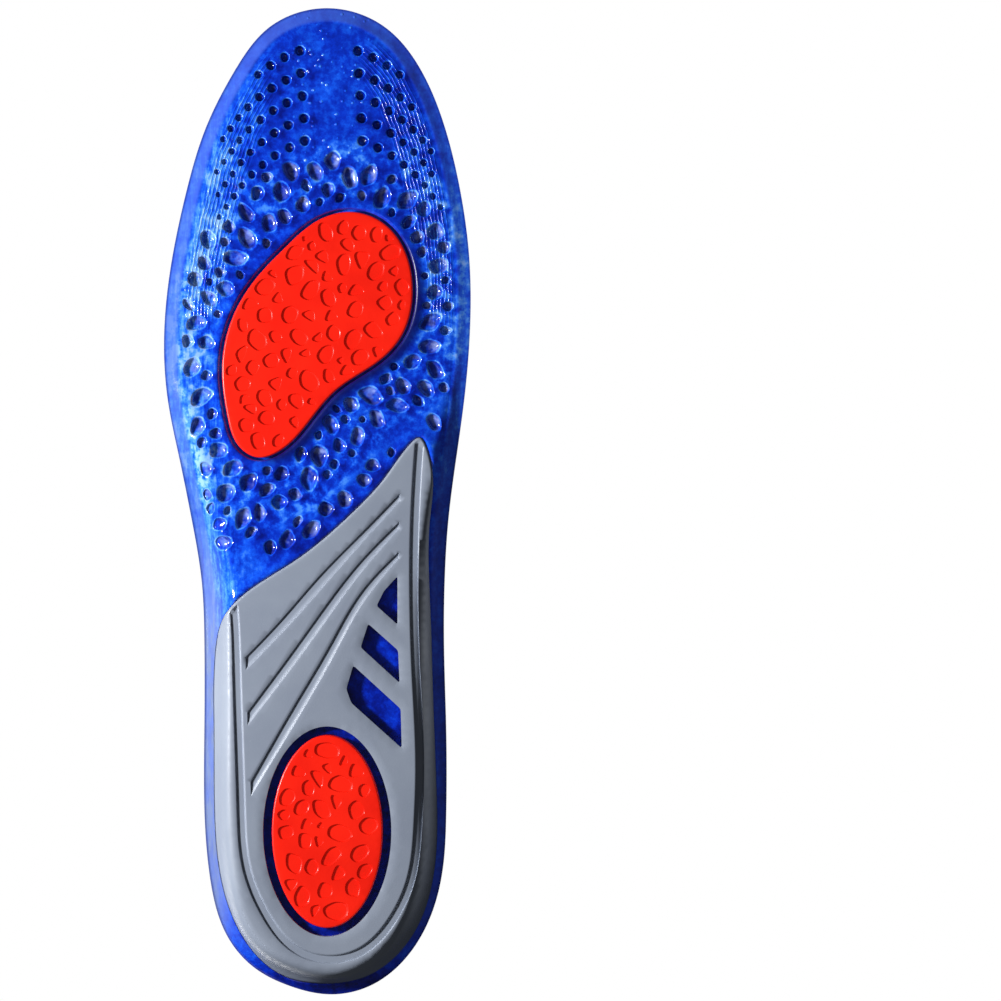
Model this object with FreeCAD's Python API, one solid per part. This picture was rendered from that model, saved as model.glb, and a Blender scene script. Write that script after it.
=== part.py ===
import FreeCAD, Part
import math
import os
from FreeCAD import Vector

os.makedirs("parts", exist_ok=True)

# A gel insole for the right foot, in mm. It lies on its underside: +Z points up to the
# foot, +Y to the toe, and the inner (arch) side is -X. Points in the lists below are
# shares: across, of half the width (+1 is the outer side); along, of the length from
# the back of the heel.

# ---- Driving dimensions --------------------------------------------------------------
LENGTH = 290.0
WIDTH = 89.6

TOE_GEL = 4.8              # gel thickness under the toes and the ball of the foot
HEEL_GEL = 8.0             # gel thickness under the heel
COVER = 1.0                # knitted top cover, bonded to the gel
CUP_RIM = 17.0             # height of the gel rim round the heel
ARCH_LIFT = 2.0            # how much higher the rim stands beside the arch
CUP_WALL = 15.0            # width of the dished wall inside the rim
ARCH_WALL = 24.0           # the same beside the arch, where it leans further in
TOE_LIP = 1.4              # how far the thin lip round the toes clears the floor
TOE_LIP_WIDTH = 6.0
CUP_CLEAR = 12.0           # how far the heel rim's lower edge clears the floor
CUP_SHOULDER = 10.5        # width of the rounded shoulder under the heel rim

SHELL = 3.0                # thickness of the stiff heel and arch shell
SHELL_FIT = 0.2            # gap between the shell's edge and the gel
CHANNEL_WIDTH = 2.4        # channel that parts the shell's plate from its raised edge
CHANNEL_DEPTH = 0.7
SLOT_DEPTH = 0.9           # depth of the three curved slots
WINDOW_CORNER = 0.6

BALL_PAD = 3.0             # thickness of the pad under the ball of the foot
BALL_FIT = 0.9             # open gap round that pad
HEEL_PAD = 4.5             # the heel pad passes through the shell into the gel
HEEL_PAD_ACROSS = 32.4
HEEL_PAD_ALONG = 56.4
HEEL_GAP = 2.6             # open ring between the heel pad and the shell
HEEL_SEAT_FIT = 0.3        # gap between the heel pad and its seat in the gel
PAD_EDGE = 0.5             # rounding of the pads' lower edges

GRID = 2.0                 # spacing of the points that carry the curved surfaces
ARCS = 12                  # arcs that each closed outline is made of
OFFSET_POINTS = 8          # points of a moved outline for each point of the outline itself

# ---- Outlines, in shares -------------------------------------------------------------
# along, outer edge, inner edge
FOOTPRINT = [
    (0.008, 0.18, -0.33),
    (0.028, 0.43, -0.52),
    (0.059, 0.60, -0.675),
    (0.119, 0.715, -0.81),
    (0.180, 0.75, -0.84),
    (0.270, 0.752, -0.84),
    (0.360, 0.752, -0.825),
    (0.422, 0.77, -0.83),
    (0.483, 0.83, -0.855),
    (0.543, 0.905, -0.905),
    (0.604, 0.98, -0.96),
    (0.680, 1.00, -1.00),
    (0.756, 0.94, -0.99),
    (0.816, 0.855, -0.935),
    (0.877, 0.735, -0.84),
    (0.937, 0.54, -0.68),
    (0.980, 0.32, -0.45),
]
HEEL_END = (-0.07, 0.0)
TOE_END = (-0.07, 1.0)

SHELL_FRONT = [
    (0.673, 0.350),
    (0.622, 0.382),
    (0.540, 0.399),
    (0.405, 0.416),
    (0.131, 0.443),
    (-0.216, 0.488),
    (-0.425, 0.522),
    (-0.588, 0.556),
    (-0.673, 0.566),
    (-0.727, 0.552),
]
SHELL_BACK = [
    (-0.735, 0.480),
    (-0.738, 0.392),
    (-0.755, 0.307),
    (-0.778, 0.210),
    (-0.760, 0.122),
    (-0.615, 0.059),
    (-0.330, 0.020),
    (-0.050, 0.012),
    (0.225, 0.019),
    (0.500, 0.061),
    (0.642, 0.122),
    (0.680, 0.188),
    (0.684, 0.271),
]
CHANNEL = [
    (0.562, 0.414),
    (0.549, 0.398),
    (0.529, 0.341),
    (0.510, 0.250),
    (0.497, 0.188),
    (0.464, 0.133),
    (0.340, 0.085),
    (0.150, 0.050),
    (-0.078, 0.039),
    (-0.275, 0.046),
    (-0.497, 0.080),
    (-0.614, 0.120),
    (-0.660, 0.176),
    (-0.672, 0.232),
    (-0.647, 0.329),
    (-0.634, 0.393),
    (-0.634, 0.457),
    (-0.650, 0.520),
    (-0.670, 0.563),
    (-0.680, 0.580),
]

BALL_OUTLINE = [
    (-0.216, 0.794),
    (-0.438, 0.782),
    (-0.572, 0.755),
    (-0.622, 0.721),
    (-0.612, 0.695),
    (-0.556, 0.670),
    (-0.440, 0.648),
    (-0.294, 0.632),
    (-0.124, 0.614),
    (0.006, 0.592),
    (0.124, 0.569),
    (0.242, 0.553),
    (0.392, 0.546),
    (0.516, 0.558),
    (0.585, 0.586),
    (0.622, 0.636),
    (0.582, 0.675),
    (0.497, 0.705),
    (0.366, 0.733),
    (0.209, 0.758),
    (0.000, 0.785),
]
HEEL_PAD_AT = (-0.065, 0.168)

# Each slot: its deep forward edge and its shallow rear edge, inner end first.
SLOTS = [
    (
        [(-0.538, 0.509), (-0.281, 0.468), (-0.009, 0.425), (0.240, 0.381), (0.487, 0.341)],
        [(-0.538, 0.501), (-0.300, 0.461), (-0.040, 0.415), (0.215, 0.371), (0.487, 0.328)],
    ),
    (
        [(-0.532, 0.480), (-0.262, 0.437), (-0.060, 0.397), (0.131, 0.356), (0.487, 0.282)],
        [(-0.532, 0.473), (-0.285, 0.429), (-0.090, 0.388), (0.100, 0.347), (0.487, 0.269)],
    ),
    (
        [(-0.530, 0.450), (-0.284, 0.409), (-0.078, 0.355), (0.131, 0.300), (0.464, 0.210)],
        [(-0.530, 0.443), (-0.305, 0.400), (-0.110, 0.346), (0.100, 0.289), (0.464, 0.196)],
    ),
]
WINDOWS = [
    [(-0.525, 0.426), (-0.436, 0.411), (-0.388, 0.396), (-0.525, 0.377)],
    [(-0.333, 0.378), (-0.284, 0.354), (-0.539, 0.318), (-0.529, 0.351)],
    [(-0.235, 0.336), (-0.190, 0.312), (-0.222, 0.298), (-0.553, 0.252), (-0.546, 0.292)],
]


# ---- Helpers -------------------------------------------------------------------------
def at(across, along, z=0.0):
    """The point in mm for shares of the half width and of the length."""
    return Vector(across * WIDTH / 2, (along - 0.5) * LENGTH, z)


def points(shares):
    return [at(across, along) for across, along in shares]


def spline(shares, closed=False, gap=0.0):
    """The smooth curve through the points, moved to its right-hand side by gap."""
    curve = Part.BSplineCurve()
    curve.interpolate(Points=points(shares), PeriodicFlag=closed)
    if gap:
        first, last = curve.FirstParameter, curve.LastParameter
        samples = OFFSET_POINTS * len(shares)
        steps = samples if closed else samples - 1
        moved = []
        for k in range(samples):
            place, along = curve.getD1(first + (last - first) * k / steps)
            side = Vector(along.y, -along.x, 0).normalize()
            moved.append(place + side * gap)
        curve.interpolate(Points=moved, PeriodicFlag=closed)
    return curve


def loop(shares, gap=0.0):
    """A closed wire through the points, grown by gap, in arcs short enough to measure well."""
    curve = spline(shares, True, gap)
    first, last = curve.FirstParameter, curve.LastParameter
    joints = [first + (last - first) * k / ARCS for k in range(ARCS + 1)]
    arcs = []
    for start, end in zip(joints, joints[1:]):
        arc = curve.copy()
        arc.segment(start, end)
        arcs.append(arc.toShape())
    return Part.Wire(arcs)


def smooth(t):
    """0 below 0, 1 above 1 and an even S between."""
    t = min(max(t, 0.0), 1.0)
    return t * t * (3 - 2 * t)


def swept(face, height):
    """The solid that a face sweeps when it moves up, or down if height is negative."""
    solid = face.extrude(Vector(0, 0, height))
    if solid.Volume < 0:
        solid.reverse()
    return solid


def plug(shape, low, high):
    """The upright solid of a flat face or closed wire between two heights."""
    face = shape if isinstance(shape, Part.Face) else Part.Face(shape)
    return swept(face.translated(Vector(0, 0, low)), high - low)


def between(one, other):
    """The flat face between two open curves, closed across their ends."""
    ends = [Part.makeLine(one.StartPoint, other.StartPoint)]
    ends.append(Part.makeLine(one.EndPoint, other.EndPoint))
    sides = [one.toShape(), other.toShape()]
    return Part.Face(Part.Wire(Part.__sortEdges__(sides + ends)))


def save(solid, name):
    shape = solid.removeSplitter()
    if shape.ShapeType != "Solid" and len(shape.Solids) == 1:
        shape = shape.Solids[0]
    shape.exportStep(f"parts/{name}.step")
    box = shape.optimalBoundingBox(False)
    print(f"{name}: {len(shape.Solids)} solid, {shape.Volume / 1000:.2f} cm3, "
          f"x {box.XMin:.2f} {box.XMax:.2f} y {box.YMin:.2f} {box.YMax:.2f} "
          f"z {box.ZMin:.2f} {box.ZMax:.2f}, valid {shape.isValid()}")


# ---- Footprint -----------------------------------------------------------------------
outer_side = [(outer, along) for along, outer, inner in FOOTPRINT]
inner_side = [(inner, along) for along, outer, inner in FOOTPRINT]
outline = loop([HEEL_END] + outer_side + [TOE_END] + inner_side[::-1])
rim = outline.discretize(361)[:-1]


def depth(x, y):
    """How far a point lies inside the footprint, negative outside it."""
    nearest = min((x - p.x) ** 2 + (y - p.y) ** 2 for p in rim)
    inside = False
    for p, q in zip(rim, rim[1:] + rim[:1]):
        if (p.y > y) != (q.y > y) and x < p.x + (y - p.y) * (q.x - p.x) / (q.y - p.y):
            inside = not inside
    return math.sqrt(nearest) if inside else -math.sqrt(nearest)


def fade(along, full, none):
    """1 back from the share full, 0 forward of the share none."""
    return 1 - smooth((along - full) / (none - full))


def underside(x, y, d):
    """Height of the insole's lower surface: flat, with a shoulder up to the rim."""
    along = y / LENGTH + 0.5
    heel = fade(along, 0.38, 0.66)
    lift = TOE_LIP + (CUP_CLEAR - TOE_LIP) * heel
    width = TOE_LIP_WIDTH + (CUP_SHOULDER - TOE_LIP_WIDTH) * heel
    return lift * smooth(1 - d / width)


def topside(x, y, d):
    """Height of the gel's upper surface: the bed, dished up to the rim."""
    along = y / LENGTH + 0.5
    inner = smooth(0.5 - x / (0.5 * WIDTH))
    bed = TOE_GEL + (HEEL_GEL - TOE_GEL) * fade(along, 0.25, 0.60)
    heel = inner * fade(along, 0.42, 0.70) + (1 - inner) * fade(along, 0.28, 0.58)
    arch = inner * math.exp(-((along - 0.40) / 0.11) ** 2)
    edge = TOE_GEL + (CUP_RIM - TOE_GEL) * heel + ARCH_LIFT * arch
    width = CUP_WALL + (ARCH_WALL - CUP_WALL) * arch
    return bed + (edge - bed) * smooth(1 - d / width)


columns = int(WIDTH / GRID) + 5
rows = int(LENGTH / GRID) + 5
corner = Vector(-(columns - 1) * GRID / 2, -(rows - 1) * GRID / 2, 0)
depths = [
    [depth(corner.x + i * GRID, corner.y + j * GRID) for j in range(rows)]
    for i in range(columns)
]


def surface(height):
    """The smooth face at height(x, y, depth) over the whole footprint."""
    heights = [
        [
            height(corner.x + i * GRID, corner.y + j * GRID, depths[i][j])
            for j in range(rows)
        ]
        for i in range(columns)
    ]
    patch = Part.BSplineSurface()
    patch.interpolate(heights, corner.x, GRID, corner.y, GRID)
    return patch.toShape()


lower_face = surface(underside)
upper_face = surface(topside)
REACH = 60.0               # longer than any height in the part


def above(face):
    return swept(face, REACH)


def below(face):
    return swept(face, -REACH)


def raised(face, height):
    return face.translated(Vector(0, 0, height))


# ---- Knitted top cover ---------------------------------------------------------------
column = plug(outline, -REACH / 2, REACH / 2)
top_cover = column.common(above(upper_face)).common(below(raised(upper_face, COVER)))
save(top_cover, "top_cover")

# ---- Ball-of-foot pad ----------------------------------------------------------------
ball_pad = plug(loop(BALL_OUTLINE), 0, BALL_PAD)
lower_rim = [e for e in ball_pad.Edges if e.BoundBox.ZMax < 0.01]
save(ball_pad.makeFillet(PAD_EDGE, lower_rim), "ball_pad")
ball_pocket = plug(loop(BALL_OUTLINE, BALL_FIT), -REACH / 2, BALL_PAD)

# ---- Heel pad ------------------------------------------------------------------------
pad_centre = at(*HEEL_PAD_AT)


def heel_oval(gap):
    """The heel pad's oval, larger by gap all round."""
    oval = Part.Ellipse(pad_centre, HEEL_PAD_ALONG / 2 + gap, HEEL_PAD_ACROSS / 2 + gap)
    edge = oval.toShape()
    edge.rotate(pad_centre, Vector(0, 0, 1), 90)
    return Part.Wire(edge)


heel_pad = plug(heel_oval(0), 0, HEEL_PAD)
lower_rim = [e for e in heel_pad.Edges if e.BoundBox.ZMax < 0.01]
save(heel_pad.makeFillet(PAD_EDGE, lower_rim), "heel_pad")
heel_seat = plug(heel_oval(HEEL_SEAT_FIT), -REACH / 2, HEEL_PAD)
heel_opening = plug(heel_oval(HEEL_GAP), -REACH / 2, REACH / 2)

# ---- Heel and arch shell -------------------------------------------------------------
shell_outline = SHELL_FRONT + SHELL_BACK
shell_top = below(raised(lower_face, SHELL))
shell = plug(loop(shell_outline), -REACH / 2, REACH / 2)
shell = shell.common(above(lower_face)).common(shell_top).cut(heel_opening)

channel_sides = [spline(CHANNEL, gap=side * CHANNEL_WIDTH / 2) for side in (-1, 1)]
shell = shell.cut(plug(between(*channel_sides), -1, CHANNEL_DEPTH))
for deep_edge, shallow_edge in SLOTS:
    slot = between(spline(deep_edge), spline(shallow_edge))
    shell = shell.cut(plug(slot, -1, SLOT_DEPTH))
for shares in WINDOWS:
    corners = points(shares)
    window = plug(Part.makePolygon(corners + corners[:1]), -REACH / 2, REACH / 2)
    uprights = [e for e in window.Edges if e.BoundBox.ZLength > REACH / 2]
    shell = shell.cut(window.makeFillet(WINDOW_CORNER, uprights))
save(shell, "arch_shell")

# ---- Gel base ------------------------------------------------------------------------
gel = column.common(above(lower_face)).common(below(upper_face))
shell_pocket = plug(loop(shell_outline, SHELL_FIT), -REACH / 2, REACH / 2)
shell_pocket = shell_pocket.common(shell_top)
for pocket in (shell_pocket, ball_pocket, heel_seat):
    gel = gel.cut(pocket)
save(gel, "gel_base")
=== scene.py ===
# %% [markdown]
# # A gel insole, built in Blender
# The insole has five pieces: a clear blue gel base, a knitted top cover, two red rubber pads
# and a stiff grey shell. The CAD frame says where each of them goes and how big it is.
# Here each one gets its real surface: pits, grooves, rounded edges and fabric.

# %% Load the frame
import math
import random

import bmesh
import bpy
import numpy as np
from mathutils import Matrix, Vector
from mathutils.geometry import delaunay_2d_cdt


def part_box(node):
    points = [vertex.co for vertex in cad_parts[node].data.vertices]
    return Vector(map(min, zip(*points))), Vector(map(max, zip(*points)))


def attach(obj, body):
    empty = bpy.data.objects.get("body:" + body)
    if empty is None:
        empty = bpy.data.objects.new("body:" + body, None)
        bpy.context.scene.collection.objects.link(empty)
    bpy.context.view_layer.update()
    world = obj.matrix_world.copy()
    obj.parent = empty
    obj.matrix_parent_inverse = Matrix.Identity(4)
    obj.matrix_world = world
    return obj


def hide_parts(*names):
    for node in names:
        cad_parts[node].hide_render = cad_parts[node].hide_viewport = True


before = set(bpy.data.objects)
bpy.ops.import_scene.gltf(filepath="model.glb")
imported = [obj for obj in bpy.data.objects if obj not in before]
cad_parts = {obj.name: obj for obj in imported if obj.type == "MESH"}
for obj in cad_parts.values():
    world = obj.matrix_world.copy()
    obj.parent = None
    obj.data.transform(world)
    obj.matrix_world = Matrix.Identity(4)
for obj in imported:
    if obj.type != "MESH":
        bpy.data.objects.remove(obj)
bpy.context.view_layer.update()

MM = 0.001
low, high = (np.array(corner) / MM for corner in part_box("gel_base"))
print("the gel base measures", np.round(high - low, 2), "mm")

# %% [markdown]
# ## Outlines
# Every piece is cut to a smooth outline. An outline is given by a few points as shares, so
# that it follows the size of the frame: across, of half the width, and along, of the length
# from the back of the heel. A cubic curve with no kinks runs through them.

# %% The insole's footprint and the curve through its points
FOOTPRINT = [
    (-0.07, 0.0), (0.18, 0.008), (0.43, 0.028), (0.60, 0.059), (0.715, 0.119),
    (0.75, 0.180), (0.752, 0.270), (0.752, 0.360), (0.77, 0.422), (0.83, 0.483),
    (0.905, 0.543), (0.98, 0.604), (1.00, 0.680), (0.94, 0.756), (0.855, 0.816),
    (0.735, 0.877), (0.54, 0.937), (0.32, 0.980), (-0.07, 1.0), (-0.45, 0.980),
    (-0.68, 0.937), (-0.84, 0.877), (-0.935, 0.816), (-0.99, 0.756), (-1.00, 0.680),
    (-0.96, 0.604), (-0.905, 0.543), (-0.855, 0.483), (-0.83, 0.422), (-0.825, 0.360),
    (-0.84, 0.270), (-0.84, 0.180), (-0.81, 0.119), (-0.675, 0.059), (-0.52, 0.028),
    (-0.33, 0.008),
]


def through(points, closed):
    """Close-set points on the smooth curve through a few points."""
    p = np.array(points, float)
    if closed:
        p = np.vstack([p, p[:1]])
    span = np.linalg.norm(np.diff(p, axis=0), axis=1)
    n = len(p) - 1 if closed else len(p)
    last = len(span) - 1
    rows, right = np.zeros((n, n)), np.zeros((n, 2))
    for i in range(n):
        if not closed and i in (0, n - 1):
            inner, k = (1, 0) if i == 0 else (n - 2, last)
            rows[i, i], rows[i, inner] = 2, 1
            right[i] = 3 * (p[k + 1] - p[k]) / span[k]
            continue
        before = span[i - 1] if i else span[last]
        previous = p[i - 1] if i else p[n - 1]
        rows[i, (i - 1) % n] += 1 / before
        rows[i, i] += 2 / before + 2 / span[i]
        rows[i, (i + 1) % n] += 1 / span[i]
        right[i] = 3 * ((p[i] - previous) / before**2 + (p[i + 1] - p[i]) / span[i] ** 2)
    slope = np.linalg.solve(rows, right)
    if closed:
        slope = np.vstack([slope, slope[:1]])
    t = np.linspace(0, 1, 40, endpoint=False)[:, None]
    found = []
    for i, h in enumerate(span):
        found.append(
            (2 * t**3 - 3 * t**2 + 1) * p[i] + (t**3 - 2 * t**2 + t) * h * slope[i]
            + (3 * t**2 - 2 * t**3) * p[i + 1] + (t**3 - t**2) * h * slope[i + 1]
        )
    return np.vstack(found + [p[-1:]])


# The shares are drawn at a trial size first, and scaled so that the curve fills the frame
TRIAL = (100, 300)
raw = through([(a * TRIAL[0] / 2, b * TRIAL[1]) for a, b in FOOTPRINT], True)
WIDTH, LENGTH = (high - low)[:2] / np.ptp(raw, axis=0) * TRIAL
print(f"width {WIDTH:.2f} mm, length {LENGTH:.2f} mm")


def mm(shares):
    """Points in mm for points in shares."""
    return [(a * WIDTH / 2, (b - 0.5) * LENGTH) for a, b in shares]


def evenly(points, count, closed=True, gap=0.0):
    """count points evenly along the curve, moved to its right-hand side by gap."""
    line = through(points, closed)
    if gap:
        if closed:
            ends = line[-2:-1], line[1:2]
        else:
            ends = 2 * line[:1] - line[1:2], 2 * line[-1:] - line[-2:-1]
        ahead = np.vstack([ends[0], line, ends[1]])
        way = ahead[2:] - ahead[:-2]
        way /= np.linalg.norm(way, axis=1)[:, None]
        line = line + gap * np.column_stack([way[:, 1], -way[:, 0]])
    run = np.concatenate([[0], np.cumsum(np.linalg.norm(np.diff(line, axis=0), axis=1))])
    at = np.linspace(0, run[-1], count, endpoint=not closed)
    return np.column_stack([np.interp(at, run, line[:, k]) for k in (0, 1)])


def along(points, spacing, closed=True, gap=0.0):
    """The same, at about the given spacing."""
    line = evenly(points, 400, closed, gap)
    length = np.linalg.norm(np.diff(line, axis=0), axis=1).sum()
    return evenly(points, max(8, round(length / spacing)), closed, gap)


def rounded(corners, radius, count):
    """count points on a closed outline with straight sides and rounded corners."""
    corners = np.asarray(corners, float)
    ends = []
    for step in (1, -1):
        way = np.roll(corners, step, axis=0) - corners
        size = np.linalg.norm(way, axis=1)[:, None]
        ends.append(corners + way * np.minimum(radius / size, 0.42))
    t = np.linspace(0, 1, 7)[:, None, None]
    curve = (1 - t) ** 2 * ends[0] + 2 * t * (1 - t) * corners + t**2 * ends[1]
    loop = curve.transpose(1, 0, 2).reshape(-1, 2)
    loop = np.vstack([loop, loop[:1]])
    run = np.concatenate([[0], np.cumsum(np.linalg.norm(np.diff(loop, axis=0), axis=1))])
    at = np.linspace(0, run[-1], count, endpoint=False)
    return np.column_stack([np.interp(at, run, loop[:, k]) for k in (0, 1)])


footprint = mm(FOOTPRINT)
rim = along(footprint, 0.8)

# %% [markdown]
# ## How far in
# The rim, the cup and the lip all depend on how far a place lies inside an outline. So one
# helper measures that for many places at once, and says which of them are inside.

# %% Distance from an outline
def inside(places, outline):
    """Which places lie inside a closed outline."""
    x, y = places[:, 0:1], places[:, 1:2]
    a, b = outline, np.roll(outline, -1, axis=0)
    rise = np.where(b[:, 1] == a[:, 1], 1e-9, b[:, 1] - a[:, 1])
    crosses = (a[:, 1] > y) != (b[:, 1] > y)
    left = x < a[:, 0] + (y - a[:, 1]) * (b[:, 0] - a[:, 0]) / rise
    return (crosses & left).sum(axis=1) % 2 == 1


def clearance(places, outline, closed=True):
    """Distance of each place from an outline, negative outside a closed one."""
    a = outline if closed else outline[:-1]
    b = np.roll(outline, -1, axis=0) if closed else outline[1:]
    way = b - a
    size = (way**2).sum(axis=1)
    found = np.empty(len(places))
    for start in range(0, len(places), 4000):
        part = places[start:start + 4000]
        t = ((part[:, None] - a) * way).sum(axis=2) / size
        near = a + np.clip(t, 0, 1)[..., None] * way
        gap = np.sqrt(((part[:, None] - near) ** 2).sum(axis=2)).min(axis=1)
        found[start:start + 4000] = np.where(inside(part, outline), gap, -gap) if closed else gap
    return found


def fade(t):
    """0 below 0, 1 above 1 and an even S between."""
    t = np.clip(t, 0, 1)
    return t * t * (3 - 2 * t)


# %% [markdown]
# ## The two curved surfaces
# Seen from the side, the insole is flat below and dished above. Round the toes its edge is
# a thin lip. Round the heel it rises into a cup, and beside the arch a little higher.

# %% Heights of the underside and of the gel's top
TOE_GEL, HEEL_GEL, COVER = 4.8, 8.0, 1.0
CUP_RIM, ARCH_LIFT, CUP_WALL, ARCH_WALL = 17.0, 2.0, 15.0, 24.0
TOE_LIP, TOE_LIP_WIDTH, CUP_CLEAR, CUP_SHOULDER = 1.4, 6.0, 12.0, 10.5


def underside(places, d):
    """Height of the lower face at places that lie d inside the rim."""
    share = places[:, 1] / LENGTH + 0.5
    heel = 1 - fade((share - 0.38) / 0.28)
    lift = TOE_LIP + (CUP_CLEAR - TOE_LIP) * heel
    return lift * fade(1 - d / (TOE_LIP_WIDTH + (CUP_SHOULDER - TOE_LIP_WIDTH) * heel))


def topside(places, d):
    """Height of the gel's upper face, under the cover."""
    share = places[:, 1] / LENGTH + 0.5
    inner = fade(0.5 - places[:, 0] / (0.5 * WIDTH))
    bed = TOE_GEL + (HEEL_GEL - TOE_GEL) * (1 - fade((share - 0.25) / 0.35))
    heel = inner * (1 - fade((share - 0.42) / 0.28)) + (1 - inner) * (1 - fade((share - 0.28) / 0.30))
    arch = inner * np.exp(-((share - 0.40) / 0.11) ** 2)
    edge = TOE_GEL + (CUP_RIM - TOE_GEL) * heel + ARCH_LIFT * arch
    return bed + (edge - bed) * fade(1 - d / (CUP_WALL + (ARCH_WALL - CUP_WALL) * arch))


# %% [markdown]
# ## Nets
# Pits, pads and windows have outlines of their own, which no square grid would follow. A
# Delaunay net takes any points and any outlines, and joins them with well-shaped triangles.
# Each net is laid flat first. Then its points are lifted to a lower and an upper height,
# and a wall joins the two along the net's edge: that makes a closed solid.

# %% The net and the solid made from it
class Net:
    """Points laid flat, with marks, some of them joined in rings that the triangles keep to."""

    def __init__(self, *marks):
        self.places, self.edges, self.count = [], [], 0
        self.marks = {name: [] for name in ("depth", *marks)}

    def dots(self, places, **marks):
        places = np.asarray(places, float).reshape(-1, 2)
        self.places.append(places)
        for name, column in self.marks.items():
            column.append(np.broadcast_to(marks.get(name, 0.0), len(places)))
        self.count += len(places)

    def ring(self, places, closed=True, **marks):
        first, n = self.count, len(places)
        self.dots(places, **marks)
        self.edges += [(first + k, first + (k + 1) % n) for k in range(n if closed else n - 1)]

    def stretches(self, places, keep, closed=True, **marks):
        """The stretches of a line that keep allows, each as an open ring."""
        if closed and keep.all():
            self.ring(places, **marks)
            return
        turn = int(np.argmin(keep)) if closed else 0
        places, keep = np.roll(places, -turn, axis=0), np.roll(keep, -turn)
        first = None
        for k in range(len(places) + 1):
            if k < len(places) and keep[k]:
                first = k if first is None else first
            elif first is not None:
                if k - first > 2:
                    self.ring(places[first:k], closed=False, **marks)
                first = None

    def triangles(self, keep):
        """Joins the points, and keeps the triangles whose middles keep(middles) allows."""
        places = np.vstack(self.places)
        made = delaunay_2d_cdt([Vector(p) for p in places], self.edges, [], 0, 1e-5)
        xy = np.array([tuple(v) for v in made[0]])
        source = [old[0] if old else -1 for old in made[3]]
        new = [k for k, old in enumerate(source) if old < 0]
        for k in new:
            source[k] = int(((places - xy[k]) ** 2).sum(axis=1).argmin())
        print("the net has", len(xy), "points,", len(new), "of them where lines cross")
        faces = np.array([f for f in made[2] if len(f) == 3])
        faces = faces[keep(xy[faces].mean(axis=1))]
        return xy, faces, {name: np.concatenate(column)[source] for name, column in self.marks.items()}


def solid(name, xy, faces, lower, upper, slot, material, sharp, **marks):
    """A closed mesh between the two heights over a net, with per-point marks for its shader.

    Edges that bend more than sharp, in degrees, stay crisp."""
    edges = {}
    for a, b, c in faces:
        for e in ((a, b), (b, c), (c, a)):
            edges[e] = 1
    border = [e for e in edges if (e[1], e[0]) not in edges]
    n = len(xy)
    points = np.vstack([np.column_stack([xy, lower]), np.column_stack([xy, upper])]) * MM
    polygons = [tuple(f[::-1]) for f in faces.tolist()]
    polygons += [tuple(f) for f in (faces + n).tolist()]
    polygons += [(a, b, b + n, a + n) for a, b in border]
    mesh = bpy.data.meshes.new(name)
    mesh.from_pydata(points.tolist(), [], polygons)
    for key, values in marks.items():
        layer = mesh.attributes.new(key, "FLOAT", "POINT")
        layer.data.foreach_set("value", np.concatenate([values, values]).astype(np.float32))
    work = bmesh.new()
    work.from_mesh(mesh)
    bmesh.ops.delete(work, geom=[v for v in work.verts if not v.link_faces], context="VERTS")
    bmesh.ops.recalc_face_normals(work, faces=work.faces)
    work.to_mesh(mesh)
    work.free()
    mesh.polygons.foreach_set("use_smooth", [True] * len(mesh.polygons))
    mesh.set_sharp_from_angle(angle=math.radians(sharp))
    mesh.materials.append(material)
    piece = bpy.data.objects.new(name, mesh)
    bpy.context.scene.collection.objects.link(piece)
    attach(piece, "root")
    print(name, "has", len(mesh.vertices), "points and", len(mesh.polygons), "faces")
    return piece


def lattice(spacing):
    """Staggered places over the whole footprint."""
    found = []
    for j, y in enumerate(np.arange(-LENGTH / 2, LENGTH / 2, spacing * 0.866)):
        x = np.arange(-WIDTH / 2, WIDTH / 2, spacing) + spacing / 2 * (j % 2)
        found.append(np.column_stack([x, np.full(len(x), y)]))
    return np.vstack(found)


# %% [markdown]
# ## Shader maths
# A small class wraps a socket, so that a mask or a mix is written as an ordinary sum.

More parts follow.
